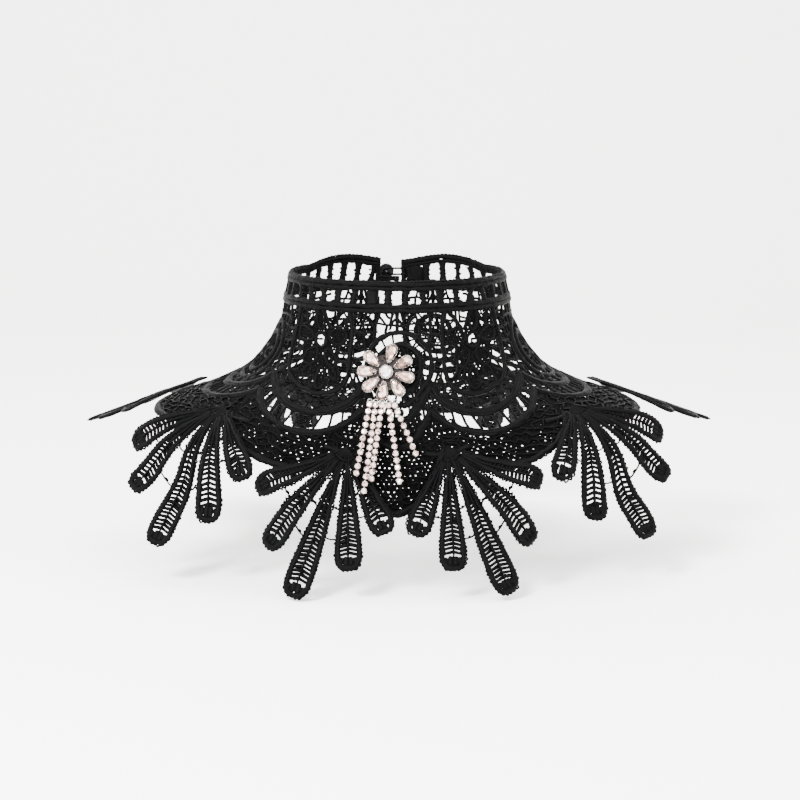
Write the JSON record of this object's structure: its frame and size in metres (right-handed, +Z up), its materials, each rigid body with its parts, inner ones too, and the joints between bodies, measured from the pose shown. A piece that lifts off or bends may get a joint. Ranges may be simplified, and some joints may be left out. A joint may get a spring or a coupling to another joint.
{
  "type": "lace collar",
  "caption": "Black guipure lace stand collar with a flared yoke, hanging lace fans, a crystal flower brooch with chains and a back button.",
  "frame": {"origin": "middle of the neck tube at the level where the collar sits on the shoulders", "axes": "+Z up the neck, -Y the front, +X the right side in a front view"},
  "size_m": [0.3247, 0.2268, 0.1469],
  "materials": {
    "black rayon lace": "satin",
    "pink crystal": "gloss",
    "silver setting": "gloss",
    "black dome button": "gloss"
  },
  "bodies": {
    "root": {"neckband_front": "black rayon lace", "neckband_back_left": "black rayon lace", "neckband_back_right": "black rayon lace", "yoke_front": "black rayon lace", "yoke_back_left": "black rayon lace", "yoke_back_right": "black rayon lace", "fan_front_left": "black rayon lace", "fan_front_right": "black rayon lace", "fan_side_left": "black rayon lace", "fan_side_right": "black rayon lace", "fan_shoulder_left": "black rayon lace", "fan_shoulder_right": "black rayon lace", "fan_back_left": "black rayon lace", "fan_back_right": "black rayon lace", "loop": "black rayon lace", "petal_1": "pink crystal", "petal_2": "pink crystal", "petal_3": "pink crystal", "petal_4": "pink crystal", "petal_5": "pink crystal", "petal_6": "pink crystal", "petal_7": "pink crystal", "petal_8": "pink crystal", "centre_stone": "pink crystal", "brooch_back": "silver setting", "brooch_chains": "silver setting", "button": "black dome button"}
  },
  "joints": []
}
